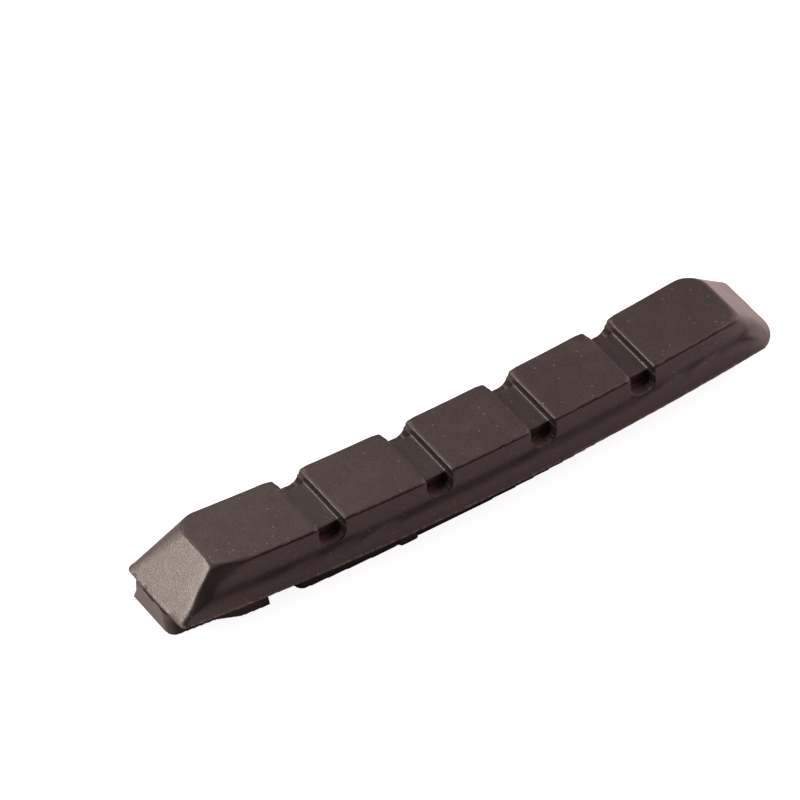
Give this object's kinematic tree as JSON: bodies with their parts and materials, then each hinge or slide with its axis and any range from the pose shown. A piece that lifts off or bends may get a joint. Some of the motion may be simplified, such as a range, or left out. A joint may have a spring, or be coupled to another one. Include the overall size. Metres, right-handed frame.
{
  "type": "bicycle rim brake pad insert",
  "caption": "Curved rubber rim brake pad with a grooved braking face, sloped ends, a flared skirt and a footed rail that slides into a cartridge shoe.",
  "frame": {"origin": "centre of the pad's own box in plan, on the sole of its rail", "axes": "+X along the chord, from the retaining-pin end to the end that enters the shoe first; +Y towards the concave side, where the wheel's axle is; +Z out of the braking face"},
  "size_m": [0.072, 0.012, 0.0081],
  "materials": {
    "rubber": "matte moulded, with fine light specks"
  },
  "bodies": {
    "root": {"brake_pad": "rubber"}
  },
  "joints": []
}
